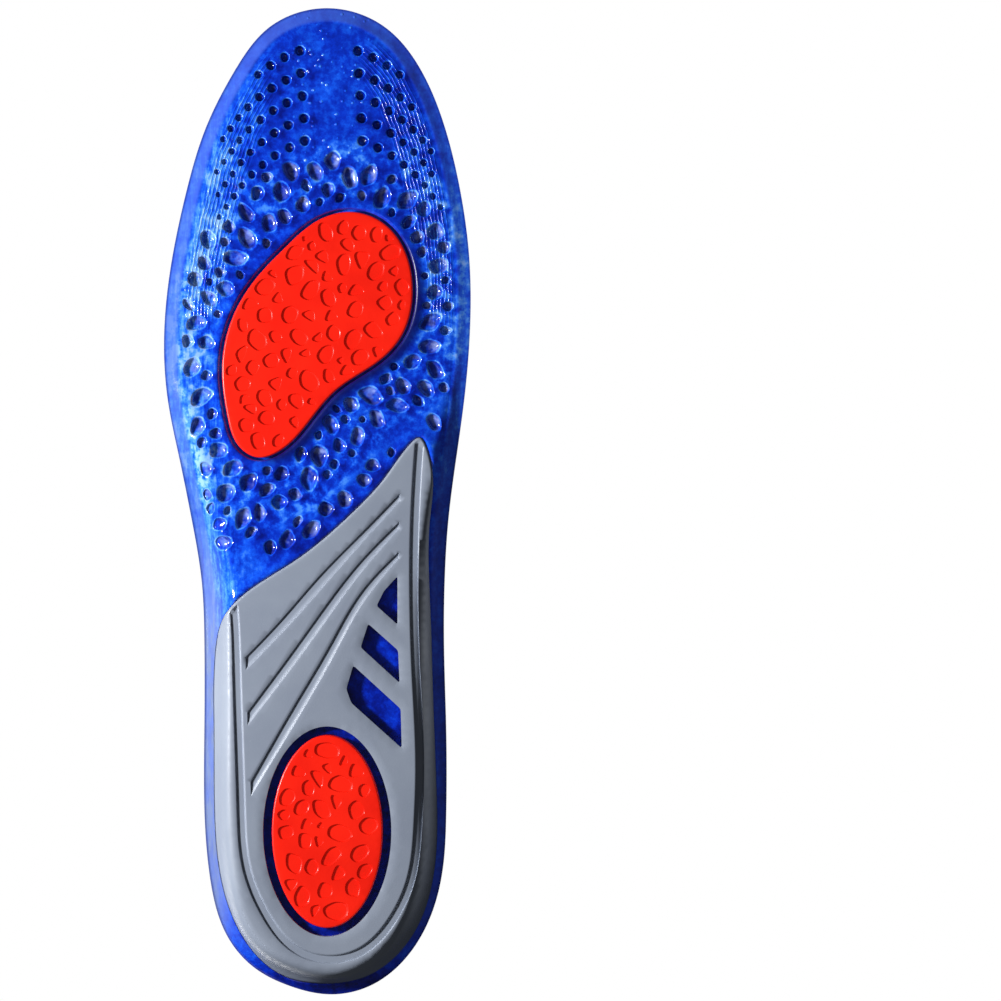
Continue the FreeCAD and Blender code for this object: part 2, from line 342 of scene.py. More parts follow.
# %% The socket class
class Maker:
    """Adds nodes to one material."""

    def __init__(self, name):
        self.material = bpy.data.materials.new(name)
        self.material.use_nodes = True
        self.tree = self.material.node_tree
        self.shader = self.tree.nodes["Principled BSDF"]

    def node(self, kind, settings=None, output=0, **sockets):
        """One node: its settings first, then its sockets, each a value or a link."""
        made = self.tree.nodes.new(kind)
        for key, value in (settings or {}).items():
            if key == "stops":
                ramp = made.color_ramp
                while len(ramp.elements) < len(value):
                    ramp.elements.new(0.5)
                for element, (place, colour) in zip(ramp.elements, value):
                    element.position, element.color = place, (*colour, 1)
            else:
                setattr(made, key, value)
        for key, value in sockets.items():
            place = int(key[1:]) if key[0] == "_" else key.replace("_", " ")
            self.put(made.inputs[place], value)
        return Wire(self, made.outputs[output])

    def put(self, socket, value):
        if isinstance(value, Wire):
            self.tree.links.new(value.socket, socket)
        else:
            socket.default_value = value

    def mix(self, share, one, other):
        """one where share is 0 and other where it is 1; both are colours."""
        one, other = ((*c, 1) if isinstance(c, tuple) and len(c) == 3 else c for c in (one, other))
        return self.node("ShaderNodeMix", {"data_type": "RGBA"}, 2, _0=share, _6=one, _7=other)

    def mark(self, name):
        return self.node("ShaderNodeAttribute", {"attribute_name": name}, 2)

    def place(self):
        return self.node("ShaderNodeTexCoord", None, 3)

    def stretched(self, scale):
        return self.node("ShaderNodeMapping", None, 0, Vector=self.place(), Scale=scale)

    def noise(self, scale, detail=2.0, rough=0.5, vector=None):
        return self.node("ShaderNodeTexNoise", None, 0, Vector=vector or self.place(), Scale=scale,
                         Detail=detail, Roughness=rough)

    def cells(self, scale):
        return self.node("ShaderNodeTexVoronoi", None, 0, Vector=self.place(), Scale=scale)

    def bump(self, height, distance, strength=1.0):
        self.put(self.shader.inputs["Normal"], self.node(
            "ShaderNodeBump", None, 0, Height=height, Distance=distance, Strength=strength))

    def set(self, **sockets):
        for key, value in sockets.items():
            if isinstance(value, tuple) and len(value) == 3 and "Color" in key:
                value = (*value, 1)
            self.put(self.shader.inputs[key.replace("_", " ")], value)
        return self.material


class Wire:
    """A socket that can be added, subtracted and multiplied like a number."""

    def __init__(self, maker, socket):
        self.maker, self.socket = maker, socket

    def sum(self, kind, *values):
        made = self.maker.tree.nodes.new("ShaderNodeMath")
        made.operation = kind
        for k, value in enumerate(values):
            self.maker.put(made.inputs[k], value)
        return Wire(self.maker, made.outputs[0])

    def __add__(self, other):
        return self.sum("ADD", self, other)

    def __radd__(self, other):
        return self.sum("ADD", other, self)

    def __sub__(self, other):
        return self.sum("SUBTRACT", self, other)

    def __rsub__(self, other):
        return self.sum("SUBTRACT", other, self)

    def __mul__(self, other):
        return self.sum("MULTIPLY", self, other)

    def __rmul__(self, other):
        return self.sum("MULTIPLY", other, self)

    def wave(self):
        """A sine wave from 0 to 1."""
        return self.sum("SINE", self) * 0.5 + 0.5

    def between(self, low, high):
        """0 at low, 1 at high, held at both ends."""
        made = self.maker.tree.nodes.new("ShaderNodeMapRange")
        made.interpolation_type = "SMOOTHSTEP"
        for k, value in enumerate((self, low, high, 0.0, 1.0)):
            self.maker.put(made.inputs[k], value)
        return Wire(self.maker, made.outputs[0])


# %% [markdown]
# ## Pits
# The gel's underside is moulded with pits: rows of small round ones under the toes, and
# uneven ones like cobbles round the ball pad. Copies of one pit would look stamped, so each
# one is an outline of its own. A bowl's profile is then drawn inside it, ring by ring: a
# rounded lip, a steep wall and a curved floor that catches a glint of the lamp.

# %% Where the pits are
BALL_OUTLINE = [
    (-0.216, 0.794), (-0.438, 0.782), (-0.572, 0.755), (-0.622, 0.721), (-0.612, 0.695),
    (-0.556, 0.670), (-0.440, 0.648), (-0.294, 0.632), (-0.124, 0.614), (0.006, 0.592),
    (0.124, 0.569), (0.242, 0.553), (0.392, 0.546), (0.516, 0.558), (0.585, 0.586),
    (0.622, 0.636), (0.582, 0.675), (0.497, 0.705), (0.366, 0.733), (0.209, 0.758),
    (0.000, 0.785),
]
SHELL_FRONT = [
    (0.673, 0.350), (0.622, 0.382), (0.540, 0.399), (0.405, 0.416), (0.131, 0.443),
    (-0.216, 0.488), (-0.425, 0.522), (-0.588, 0.556), (-0.673, 0.566), (-0.727, 0.552),
]
SHELL_BACK = [
    (-0.735, 0.480), (-0.738, 0.392), (-0.755, 0.307), (-0.778, 0.210), (-0.760, 0.122),
    (-0.615, 0.059), (-0.330, 0.020), (-0.050, 0.012), (0.225, 0.019), (0.500, 0.061),
    (0.642, 0.122), (0.680, 0.188), (0.684, 0.271),
]
ball_line, shell_line = mm(BALL_OUTLINE), mm(SHELL_FRONT + SHELL_BACK)
ball_edge, shell_edge = along(ball_line, 0.8), along(shell_line, 0.8)
WINDOWS = [
    [(-0.525, 0.426), (-0.436, 0.411), (-0.388, 0.396), (-0.525, 0.377)],
    [(-0.333, 0.378), (-0.284, 0.354), (-0.539, 0.318), (-0.529, 0.351)],
    [(-0.235, 0.336), (-0.190, 0.312), (-0.222, 0.298), (-0.553, 0.252), (-0.546, 0.292)],
]
windows = [rounded(mm(w), 0.7, 90) for w in WINDOWS]
STRIPE = np.array(mm([(-0.80, 0.604), (0.57, 0.442)]))
dice = random.Random(11)


def blob(centre, wide, long, turn, corners, rough):
    """An uneven rounded outline, as a function of how large and how many points."""
    knots = []
    for k in range(corners):
        a = 2 * math.pi * (k + dice.uniform(-rough, rough)) / corners
        r = 1 + dice.uniform(-rough, rough)
        x, y = wide * r * math.cos(a), long * r * math.sin(a)
        knots.append((x * math.cos(turn) - y * math.sin(turn), x * math.sin(turn) + y * math.cos(turn)))
    knots = np.array(knots) * (1.25 if corners < 5 else 1.1)
    return lambda size, count: rounded(knots * size, 10, count) + centre


# size, share of the depth, pale line (a painted highlight on the lip), floor (painted shade in the pit's
# floor)
BOWL = (
    (1.11, 0.02, 0.5, 0.0), (1.03, 0.11, 1.0, 0.0), (0.96, 0.30, 0.7, 0.3), (0.88, 0.55, 0.0, 0.8),
    (0.73, 0.78, 0.0, 1.0), (0.52, 0.93, 0.0, 1.0),
)
pits = []
# lip size as a share of the pit's; the smallest gap between two lips; and how far a lip
# stays from the rim, the ball pad, the shell and the plain stripe in front of the shell
LIP_SIZE, LIP_GAP = 1.18, 0.34
RIM_GAP, PAD_GAP, SHELL_GAP, STRIPE_GAP = 4.5, 2.3, 1.3, 1.0


def add_pit(centre, wide, long, turn, corners, rough, depth, pale):
    """Adds a pit where its lip stays clear of every edge and of the pits made before it."""
    centre, reach = np.array(centre), max(wide, long) * 1.1
    near = []
    for other in pits:
        apart = math.hypot(*(centre - other["centre"]))
        if apart < max(reach, other["reach"]):
            return
        if apart < (reach + other["reach"]) * LIP_SIZE + 0.2:
            near.append(other)
    outline = blob(centre, wide, long, turn, corners, rough)
    lip = outline(LIP_SIZE, 40)
    for other in near:
        if np.sqrt(((lip[:, None] - other["lip"]) ** 2).sum(axis=2)).min() < LIP_GAP:
            return
    if clearance(lip, rim).min() < RIM_GAP or clearance(lip, ball_edge).max() > -PAD_GAP:
        return
    if clearance(lip, shell_edge).max() > -SHELL_GAP:
        return
    if clearance(lip, STRIPE, closed=False).min() < STRIPE_GAP:
        return
    pits.append({"centre": centre, "reach": reach, "depth": depth, "pale": pale,
                 "outline": outline, "lip": lip})


TOE_ROWS, TOE_STEPS = 5, 9
for side, start_x in ((1, 5.0), (-1, -12.0)):
    for row in range(TOE_ROWS):
        x, y = start_x - 0.35 * row, 132.5 - 6.6 * row
        for step in range(TOE_STEPS):
            radius = 1.5 - 0.08 * step
            add_pit((x, y), radius, radius, 0, 7, 0.10, 1.7 - 0.1 * step, 0.0)
            turn = math.radians(min(24 + 6 * step, 54))
            reach = 4.9 - 0.18 * step
            x, y = x + side * reach * math.cos(turn), y - reach * math.sin(turn)
toe_pits = len(pits)

# %% The cobbles, thrown like darts: large ones first, then smaller ones in the gaps
TRIES = 36000
places = np.array([
    (dice.uniform(-0.5, 0.5) * WIDTH, dice.uniform(-0.05, 0.36) * LENGTH) for _ in range(TRIES)])
front = 103 - 13 * ((places[:, 0] + 3) / 28) ** 2
from_ball = clearance(places, ball_edge)
clear = (clearance(places, rim) > 5.5) & (from_ball < -3.4) & (from_ball > -27) & (places[:, 1] < front - 2)
clear &= clearance(places, shell_edge) < -2.2
places = places[clear]
middle = ball_edge.mean(axis=0)
for k, place in enumerate(places):
    wide = 2.35 - 1.15 * (k / len(places)) ** 0.8 + dice.uniform(-0.2, 0.2)
    long = wide * dice.uniform(1.0, 1.6)
    turn = math.atan2(*(place - middle)[::-1]) - math.pi / 2 + dice.uniform(-0.7, 0.7)
    corners, depth = dice.choice((4, 4, 5, 5, 6)), dice.uniform(1.2, 1.9)
    pale = dice.uniform(0.25, 1.0) * (1.0 if place[1] > 55 else 0.7)
    add_pit(place, wide, long, turn, corners, 0.16, depth, pale)
print(toe_pits, "toe pits and", len(pits) - toe_pits, "cobble pits")

# %% [markdown]
# ## The gel base
# The gel is clear and tinted: deep blue where it is thick and pale where it is thin, such as in
# the pits' floors and at the lip. Baking a real clear gel would lose it, so the shader gets its
# colour from marks worked out for each point. Many of these marks are painted light and shade:
# pale lines at the pits, a lighter side towards the lamp, shadows of the pits, the ball pad and
# the shell, and a faint glow.

# %% Gel material
def blue_gel():
    m = Maker("blue_gel")
    cloud = m.noise(130, 4, 0.65).between(0.32, 0.68)
    fine = m.noise(560, 3, 0.7).between(0.32, 0.70)
    # streak breaks the painted light below into long streaks
    streak = m.noise(1.0, 3, 0.6, m.stretched((900, 120, 400))).between(0.35, 0.70)
    edge, ribs, lip = m.mark("edge"), m.mark("ribs"), m.mark("lip")
    rib = (edge * (2 * math.pi / RIB_STEP) + cloud * 2.4).wave().between(0.45, 0.98) * ribs
    bubble = 1 - m.cells(430).between(0.11, 0.22)
    bubble = bubble * m.mark("smooth")
    patch = m.noise(260, 3, 0.6).between(0.42, 0.66)
    # painted light: the gel is painted lighter on its side towards the lamp, in streaks
    light = 0.27 + 0.22 * cloud + 0.18 * fine + m.mark("glow") * (0.16 + 0.24 * streak)
    # painted highlights: a pale line round each pit's lip and lighter rib lines; tiny air bubbles are
    # lighter dots
    light = light + 0.46 * m.mark("ring") + rib * (0.06 + 0.20 * streak) + 0.26 * bubble
    light = light + m.mark("among") * (0.04 + 0.24 * patch)
    # painted shade: darker in painted shadows and shaded places and on the pits' floors
    light = light - 0.34 * m.mark("shade") - 0.24 * m.mark("floor")
    gel = m.node("ShaderNodeValToRGB", {"stops": (
        (0.0, (0.0005, 0.003, 0.085)), (0.22, (0.0008, 0.010, 0.27)), (0.42, (0.0015, 0.030, 0.52)),
        (0.62, (0.006, 0.095, 0.80)), (0.82, (0.06, 0.26, 0.90)), (1.0, (0.24, 0.45, 0.95)))}, 0, Fac=light)
    # the pits' floors are paler where the gel is thin, and painted paler still on their side lit by the
    # lamp
    floor = m.mix(m.noise(420, 2, 0.5).between(0.40, 0.62), (0.03, 0.06, 0.32), (0.40, 0.50, 0.76))
    gel = m.mix(m.mark("pale") * (0.55 + 0.35 * fine), gel, floor)
    # the rim's lip is paler where the gel thins, and painted paler still on the side towards the lamp
    gel = m.mix(lip * (0.62 + 0.2 * cloud), gel, (0.06, 0.125, 0.60))
    # painted light: the heel's rim on the lamp's side is painted a pale grey
    gel = m.mix(m.mark("haze") * (0.5 + 0.3 * streak), gel, (0.19, 0.24, 0.32))
    # painted shadow: the ball pad's shadow beside it is painted near black, and is made rougher and less
    # coated there
    dark = m.mark("dark")
    gel = m.mix(dark * 0.92, gel, (0.0004, 0.0015, 0.07))
    gel = m.mix((1 - edge.between(0.15, 0.9)) * 0.55, gel, (0.004, 0.012, 0.16))
    m.bump(m.noise(700, 2, 0.5) * 0.35 + rib * 1.0 + bubble * 0.8, 0.00016, 0.8)
    # painted light: the gel glows faintly in its own colour, which lifts its shaded pits
    return m.set(Base_Color=gel, Emission_Color=gel, Emission_Strength=0.11, Roughness=0.14 + dark * 0.2,
                 IOR=1.45, Coat_Weight=0.5 - dark * 0.5, Coat_Roughness=0.04)


# %% Gel mesh
RIB_STEP = 1.05
BALL_FIT, BALL_PAD, SHELL, SHELL_FIT, HEEL_PAD = 0.9, 3.0, 3.0, 0.2, 4.5
HEEL_PAD_AT = np.array(mm([(-0.065, 0.168)])[0])
HEEL_PAD_HALF = np.array([16.2, 28.2])
HEEL_GAP, HEEL_SEAT_FIT = 2.6, 0.3


def oval(gap, count):
    """The heel pad's oval, larger by gap all round."""
    a = np.linspace(0, 2 * math.pi, count, endpoint=False)
    return HEEL_PAD_AT + np.column_stack([np.cos(a), np.sin(a)]) * (HEEL_PAD_HALF + gap)


# %% Gel net: the rim, the edges of the pockets and the pits
net = Net("pale", "ring", "floor")
for d in (0.0, 0.15, 0.5, 1.0, 1.7, 2.5, 3.3, 3.9, 4.2, 4.6):
    line = along(footprint, 1.0, gap=-d) if d else rim
    clear_of_shell = clearance(line, shell_edge) < -1.4
    net.stretches(line, clear_of_shell | (d < 1.2))
for gap, depth in ((1.8, 0.0), (1.5, 0.05), (1.2, 0.22), (BALL_FIT, 0.7), (BALL_FIT - 0.1, BALL_PAD)):
    net.ring(along(ball_line, 0.9, gap=gap), depth=depth)
for gap, depth in ((SHELL_FIT + 0.9, 0.0), (SHELL_FIT + 0.35, 0.1), (SHELL_FIT, 0.4),
                   (SHELL_FIT - 0.1, SHELL)):
    net.ring(along(shell_line, 0.9, gap=gap), depth=depth)
for gap, depth in ((HEEL_SEAT_FIT, SHELL), (HEEL_SEAT_FIT - 0.1, HEEL_PAD)):
    net.ring(oval(gap, 120), depth=depth)
for pit in pits:
    count = max(12, round(pit["reach"] * 7))
    # painted shade: how much darker the pit's floor is painted
    dark = 1 - 0.3 * pit["pale"]
    net.ring(pit["lip"])
    for size, share, ring, low in BOWL:
        line = pit["outline"](size, count)
        # painted light: the pale line on the lip and the pale part of the floor grow towards the pit's far
        # side from the lamp, whose wall faces it
        way = (line - pit["centre"]) @ (-0.8, 0.6) / (pit["reach"] * size)
        net.ring(line, depth=share * pit["depth"], ring=ring * (0.55 + 0.45 * np.clip(way, 0, 1)),
                 floor=low * dark, pale=low * pit["pale"] * np.clip(0.45 + 0.7 * way, 0, 1))
    net.dots(pit["outline"](0.3, 6), depth=pit["depth"], floor=dark, pale=0.5 * pit["pale"])
print("rings laid so far hold", net.count, "points")

# %% Gel net: loose points between the rings
loose = lattice(1.25)
loose = loose[clearance(loose, rim) > 5.1]
for pit in pits:
    near = np.hypot(*(loose - pit["centre"]).T) < pit["reach"] * LIP_SIZE + 0.5
    spare = np.ones(len(loose), bool)
    if near.any():
        spare[near] = clearance(loose[near], pit["outline"](LIP_SIZE, 24)) < -0.25
    loose = loose[spare]
in_ball, in_shell, in_seat = (clearance(loose, e) for e in (ball_edge, shell_edge, oval(0, 120)))
loose_depth = np.where(in_ball > 0, BALL_PAD, np.where(in_shell > 0, SHELL, 0.0))
loose_depth = np.where(in_seat > 0, HEEL_PAD, loose_depth)
clear = (in_ball > 0) | (in_ball < -2.2)
clear &= (in_shell > 0.6) | (in_shell < -1.6)
clear &= abs(in_seat) > 0.8
net.dots(loose[clear], depth=loose_depth[clear])
xy, faces, marks = net.triangles(lambda middles: inside(middles, rim))

# %% Gel heights and tones
d = np.maximum(clearance(xy, rim), 0)
from_ball, from_shell = clearance(xy, ball_edge), clearance(xy, shell_edge)
share = xy[:, 1] / LENGTH + 0.5
outer = xy[:, 0] / (WIDTH / 2)
open_gel = fade((-from_ball - 2.4) / 1.5) * fade((-from_shell - 1.4) / 1.5)
wave = 0.10 * (np.sin(xy[:, 0] * 0.55 + 1.3) * np.sin(xy[:, 1] * 0.43) + 1) * open_gel
step = 0.22 * fade((d - 3.9) / 0.5) * open_gel
lower = underside(xy, d) + marks["depth"] + (wave + step) * fade((d - 3.5) / 0.5)
upper = topside(xy, d) - 0.02
# painted shadow: each pit gets a soft dark patch, moved away from the lamp, as its shadow on the gel's back
shade = np.zeros(len(xy))
for pit in pits:
    away = np.hypot(*(xy - pit["centre"] - (-2.3, -0.7)).T)
    shade = np.maximum(shade, np.exp(-(away / (1.05 * pit["reach"])) ** 2))
# painted shade: the gel is darker under the shell, less so in its windows, and at the back of the heel
under_shell = fade(from_shell / 0.3)
in_window = np.max([clearance(xy, window) for window in windows], axis=0)
painted_shade_under = under_shell * (1 - 0.5 * fade((in_window + 0.3) / 2.5))
painted_shade_under = np.maximum(painted_shade_under, fade((0.035 - share) / 0.02))
shade = np.maximum(shade * (1 - marks["floor"]) * 0.8, painted_shade_under)
# painted shadow: the ball pad's shadow on the gel, moved away from the lamp
pad_shadow = fade((clearance(xy - (-3.8, -1.9), ball_edge) + 1.2) / 3.2) * fade((-from_ball - 0.3) / 0.4)
# painted shade: the heel and arch are darker on the side away from the lamp
shade = np.maximum(shade, 0.7 * fade(-0.35 - outer) * fade((0.56 - share) / 0.1))
sides = fade((abs(outer) - 0.22) / 0.2) * fade((share - 0.66) / 0.06) * fade((0.975 - share) / 0.03)
ribs = sides * fade((d - 5) / 1) * fade((17 - d) / 3) * fade((-from_ball - 4) / 2)
among = fade((-from_ball - 2.5) / 3) * fade((23 + from_ball) / 6) * fade((share - 0.44) / 0.05)
# painted light: lighter on the side that faces the lamp (+x), and less along the far rim in front of the
# arch
glow = fade((outer - 0.25) / 0.5) * fade((share - 0.3) / 0.1) * fade((24 - d) / 14)
glow = np.maximum(glow, 0.55 * fade((-outer - 0.6) / 0.3) * fade((share - 0.42) / 0.1) * fade((14 - d) / 8))
# painted light: where the heel's rim faces the lamp
haze = fade((outer - 0.55) / 0.15) * fade((0.5 - share) / 0.15) * fade((9 - d) / 4)
# the lip tone is paler where the gel thins at the rim; it is painted paler still towards the lamp's side
gel_base = solid(
    "gel_base_moulding", xy, faces, lower, upper, "blue_gel", blue_gel(), sharp=50, edge=d, ribs=ribs,
    shade=shade, pale=marks["pale"], ring=marks["ring"], floor=marks["floor"],
    lip=fade((4.3 - d) / 0.9) * fade(0.75 + 0.45 * outer) * fade((share - 0.03) / 0.06),
    glow=glow, among=among, haze=haze, dark=pad_shadow,
    smooth=fade((0.30 - abs(outer + 0.09)) / 0.1) * fade((share - 0.8) / 0.03) * fade((-from_ball - 5) / 4))
# the lamp below the floor would make the gel throw a blue glow through it
gel_base.visible_diffuse = False
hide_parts("gel_base")

# %% [markdown]
# ## The pads
# The pads are soft red rubber, let into the gel. Their faces are dimpled like cobbles.

# %% Pad material
def red_rubber():
    m = Maker("red_rubber")
    tone = m.noise(70, 3, 0.5)
    red = m.mix(tone.between(0.3, 0.7), (0.72, 0.009, 0.002), (0.82, 0.013, 0.003))
    # painted shade: the dimples' walls are painted a darker red
    red = m.mix(m.mark("wall") * 0.35, red, (0.46, 0.003, 0.001))
    m.bump(m.noise(900, 3, 0.6), 0.00006, 0.4)
    # painted light: the rubber glows faintly in its own red, which lifts its shaded dimples
    return m.set(Base_Color=red, Emission_Color=red, Emission_Strength=0.26, Roughness=0.34, IOR=1.4,
                 Coat_Weight=0.15, Coat_Roughness=0.15)


# %% Pad meshes
# size, depth, whether the ring is on the wall
DIMPLE = (
    (1.05, 0.0, 0), (1.0, 0.0, 0), (0.975, 0.05, 1), (0.90, 0.46, 1), (0.87, 0.50, 0), (0.81, 0.50, 0),
)


def dimpled_pad(name, node, edge_line, thickness, seed):
    """A pad with a rounded edge and a face full of shallow dimples."""
    # blob throws the same dice, and each pad starts them afresh
    global dice
    dice = random.Random(seed)
    net = Net("wall")
    for d, depth in ((0.0, 0.45), (0.12, 0.18), (0.3, 0.04), (0.5, 0.0)):
        net.ring(edge_line(-d), depth=depth)
    edge = edge_line(0.0)
    low, high = edge.min(axis=0), edge.max(axis=0)
    tries = 4200
    places = np.array([
        (dice.uniform(low[0], high[0]), dice.uniform(low[1], high[1])) for _ in range(tries)])
    from_edge = clearance(places, edge)
    dimples = []
    for k, centre in enumerate(places):
        wide = 2.5 - 1.2 * (k / tries) ** 0.9 + dice.uniform(-0.2, 0.2)
        long, turn = wide * dice.uniform(1.0, 1.5), dice.uniform(0, 3.1)
        outline = blob(centre, wide, long, turn, dice.choice((3, 4, 5, 6, 6)), 0.16)
        if from_edge[k] < 0.9 or clearance(outline(1.05, 16), edge).min() < 0.75:
            continue
        ring = outline(1.0, 24)
        reach = np.hypot(*(ring - centre).T).max()
        clash = False
        for other, other_reach, other_ring in dimples:
            apart = math.hypot(*(centre - other))
            if apart < reach + other_reach + 0.7:
                clash = apart < max(reach, other_reach)
                clash = clash or np.sqrt(((ring[:, None] - other_ring) ** 2).sum(axis=2)).min() < 0.7
                if clash:
                    break
        if clash:
            continue
        dimples.append((centre, reach, ring))
        count = max(18, round(long * 11))
        for size, depth, wall in DIMPLE:
            net.ring(outline(size, count), depth=depth, wall=wall)
        net.dots(outline(0.4, 6), depth=DIMPLE[-1][1])
    loose = lattice(1.3)
    loose = loose[clearance(loose, edge) > 0.9]
    for centre, reach, ring in dimples:
        loose = loose[np.hypot(*(loose - centre).T) > reach + 0.4]
    net.dots(loose)
    xy, faces, marks = net.triangles(lambda middles: inside(middles, edge))
    upper = np.full(len(xy), thickness - 0.02)
    pad = solid(name, xy, faces, marks["depth"], upper, "red_rubber", pad_material, sharp=29,
                wall=marks["wall"])
    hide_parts(node)
    print(name, "has", len(dimples), "dimples")


pad_material = red_rubber()
dimpled_pad("ball_pad_rubber", "ball_pad", lambda gap: along(ball_line, 0.6, gap=gap), BALL_PAD, 5)
dimpled_pad("heel_pad_rubber", "heel_pad", lambda gap: oval(gap, 220), HEEL_PAD, 9)

# %% [markdown]
# ## The shell
# The shell is one stiff moulding. A channel sets its plate off from its raised edge, three
# curved slots fan across the plate, and three windows open on to the gel.

# %% Shell material
def grey_shell():
    m = Maker("grey_shell")
    tone = m.noise(45, 3, 0.5).between(0.3, 0.7)
    speck = m.noise(1500, 2, 0.7).between(0.62, 0.75)
    grey = m.mix(tone, (0.235, 0.270, 0.345), (0.262, 0.300, 0.375))
    grey = m.mix(speck * 0.25, grey, (0.36, 0.40, 0.46))
    # painted light: the shell's side towards the lamp is painted lighter
    grey = m.mix(m.mark("light_side") * 0.3, grey, (0.36, 0.40, 0.47))
    m.bump(m.noise(2200, 2, 0.6), 0.00005, 0.35)
    return m.set(Base_Color=grey, Roughness=m.noise(300, 2).between(0.2, 0.8) * 0.12 + 0.36, IOR=1.48)


# %% Shell mesh
CHANNEL = [
    (0.562, 0.414), (0.549, 0.398), (0.529, 0.341), (0.510, 0.250), (0.497, 0.188),
    (0.464, 0.133), (0.340, 0.085), (0.150, 0.050), (-0.078, 0.039), (-0.275, 0.046),
    (-0.497, 0.080), (-0.614, 0.120), (-0.660, 0.176), (-0.672, 0.232), (-0.647, 0.329),
    (-0.634, 0.393), (-0.634, 0.457), (-0.650, 0.520), (-0.670, 0.563), (-0.680, 0.580),
]
CHANNEL_WIDTH, CHANNEL_DEPTH, SLOT_DEPTH = 2.4, 0.6, 0.55
SLOTS = [
    ([(-0.538, 0.509), (-0.281, 0.468), (-0.009, 0.425), (0.240, 0.381), (0.487, 0.341)],
     [(-0.538, 0.501), (-0.300, 0.461), (-0.040, 0.415), (0.215, 0.371), (0.487, 0.328)]),
    ([(-0.532, 0.480), (-0.262, 0.437), (-0.060, 0.397), (0.131, 0.356), (0.487, 0.282)],
     [(-0.532, 0.473), (-0.285, 0.429), (-0.090, 0.388), (0.100, 0.347), (0.487, 0.269)]),
    ([(-0.530, 0.450), (-0.284, 0.409), (-0.078, 0.355), (0.131, 0.300), (0.464, 0.210)],
     [(-0.530, 0.443), (-0.305, 0.400), (-0.110, 0.346), (0.100, 0.289), (0.464, 0.196)]),
]


def shrunk(loop, gap):
    """A closed outline moved inwards by gap, for a counter-clockwise one."""
    way = np.roll(loop, -1, axis=0) - np.roll(loop, 1, axis=0)
    way /= np.linalg.norm(way, axis=1)[:, None]
    area = (loop[:, 0] * np.roll(loop[:, 1], -1) - loop[:, 1] * np.roll(loop[:, 0], -1)).sum()
    return loop - math.copysign(gap, area) * np.column_stack([way[:, 1], -way[:, 0]])


# %% Shell net: the outside, the windows and the channel
opening = oval(HEEL_GAP, 150)
net = Net()
for d, depth in ((0.0, 0.55), (0.2, 0.2), (0.5, 0.03), (0.8, 0.0)):
    net.ring(along(shell_line, 0.7, gap=-d), depth=depth)
for hole in windows + [opening]:
    for d, depth in ((0.0, 0.3), (0.14, 0.08), (0.32, 0.0)):
        net.ring(shrunk(hole, -d), depth=depth)
shell_inner = along(shell_line, 0.7, gap=-1.0)
half = CHANNEL_WIDTH / 2
channel = mm(CHANNEL)
channel_middle = along(channel, 0.7, closed=False)
for gap, depth in ((-half - 0.25, 0.0), (-half, 0.12), (-half + 0.12, CHANNEL_DEPTH), (0.0, CHANNEL_DEPTH),
                   (half - 0.3, CHANNEL_DEPTH), (half, 0.1), (half + 0.3, -0.14), (half + 0.55, -0.14)):
    line = along(channel, 0.7, closed=False, gap=gap)
    net.stretches(line, inside(line, shell_inner), closed=False, depth=depth)
print("the shell's outlines hold", net.count, "points")

# %% Shell net: the slots, then loose points, heights and the solid
slot_loops = []
for deep, shallow in SLOTS:
    front = evenly(mm(deep), 90, closed=False)
    back = evenly(mm(shallow), 90, closed=False)
    away = [clearance(side, channel_middle, closed=False) for side in (front, back)]
    clear = np.minimum(*away) > half + 1.5
    front, back = front[clear], back[clear]
    slot_loops.append(np.vstack([front, back[::-1]]))
    for t, depth in ((-0.06, 0.0), (0.0, 0.12), (0.07, SLOT_DEPTH), (0.5, SLOT_DEPTH - 0.04),
                     (0.84, SLOT_DEPTH - 0.14), (0.97, 0.05), (1.07, 0.0)):
        net.ring(front + (back - front) * t, closed=False, depth=depth)
    for end in (0, -1):
        way = front[end] - front[1 if end == 0 else -2]
        way = way / np.linalg.norm(way) * 0.3
        net.ring(np.array([front[end] + way, back[end] + way]), closed=False)
loose = lattice(1.5)
loose = loose[clearance(loose, shell_edge) > 1.2]
clear = clearance(loose, channel_middle, closed=False) > half + 1.1
for hole in windows + [opening]:
    clear &= clearance(loose, hole) < -0.8
for loop in slot_loops:
    clear &= clearance(loose, loop) < -0.7
net.dots(loose[clear])


def in_shell_only(places):
    """Inside the shell's outline and outside its holes."""
    holes = [inside(places, hole) for hole in windows + [opening]]
    return inside(places, shell_edge) & ~np.any(holes, axis=0)


xy, faces, marks = net.triangles(in_shell_only)
d = np.maximum(clearance(xy, rim), 0)
# the lower face takes the height that the underside has FLATTER further in, so that the
# bank outside the channel is flat and folds sharply into the steep side of the cup
FLATTER, FOLD_AT, FOLD_WIDTH = 1.8, 3.8, 3.4
face = underside(xy, d + FLATTER * fade((d - FOLD_AT) / FOLD_WIDTH))
lower = np.maximum(face + marks["depth"], 0)
upper = underside(xy, d) + SHELL - 0.02
outer = xy[:, 0] / (WIDTH / 2)
# painted light: the band near the edge on the lamp's side (+x)
light_side = fade((outer - 0.5) / 0.1) * fade((13 - d) / 4)
shell = solid("arch_shell_moulding", xy, faces, lower, upper, "grey_shell", grey_shell(), sharp=52,
              light_side=light_side)
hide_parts("arch_shell")

# %% [markdown]
# ## The knitted cover
# The cover is a thin brushed knit, bonded to the gel all over. It is paler where a pit
# leaves the gel thin below it.

